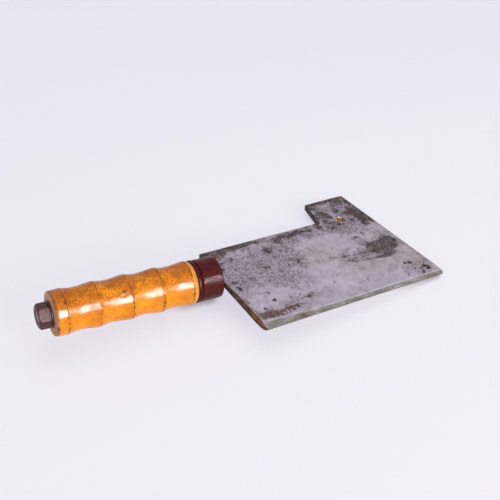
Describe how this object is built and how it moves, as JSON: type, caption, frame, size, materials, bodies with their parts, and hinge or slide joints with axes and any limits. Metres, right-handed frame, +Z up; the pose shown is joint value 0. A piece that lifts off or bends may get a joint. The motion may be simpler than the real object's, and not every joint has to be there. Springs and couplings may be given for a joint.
{
  "type": "meat cleaver",
  "caption": "Butcher's cleaver with a stepped-back blade and hang hole, a round welded bolster, and a turned wooden grip clamped on a threaded tang rod by a hexagon nut.",
  "frame": {"origin": "middle of the footprint on the surface the tool lies on: bottom centre of the bounding box at rest", "axes": "+X from butt to blade tip in plan, +Y from the cutting edge towards the back, +Z up; the tool lies as it comes to rest, on the bolster's lower front rim and the far end of the blade, with the butt raised"},
  "size_m": [0.3172, 0.1482, 0.0437],
  "materials": {
    "scrubbed_steel": "scrubbed carbon steel, dull satin, with dark patina, brown stains and small pits",
    "oxide_red_paint": "semi-gloss dark oxide red-brown paint, slightly rough",
    "weld_metal": "dark painted weld with rust flecks",
    "collar_paint": "semi-gloss very dark red-brown paint",
    "varnished_wood": "amber gloss varnish over straight-grained pale wood, with dark scribed rings and worn end faces",
    "rod_steel": "dark oiled steel",
    "washer_steel": "dark dull steel",
    "nut_paint": "satin dark purple-brown paint, worn on the corners"
  },
  "bodies": {
    "cleaver": {"blade": "scrubbed_steel", "bolster": "oxide_red_paint", "weld_bead_upper": "weld_metal", "weld_bead_lower": "weld_metal", "front_collar": "collar_paint", "grip": "varnished_wood", "tang_rod": "rod_steel"},
    "washer": {"butt_washer": "washer_steel"},
    "nut": {"hex_nut": "nut_paint"}
  },
  "joints": [
    {"name": "nut_travel", "type": "slide", "parent": "cleaver", "child": "washer", "axis": [-0.9966, 0.0003, 0.0822], "range_m": [0, 0.0076]},
    {"name": "nut_turn", "type": "hinge", "parent": "washer", "child": "nut", "pos_m": [-0.15386, 0.00054, 0.02758], "axis": [-0.9966, 0.0003, 0.0822], "range_deg": [0, 1800]}
  ],
  "couplings": [
    {"joint": "nut_travel", "follows": "nut_turn", "m_per_rad": 0.00023873}
  ]
}
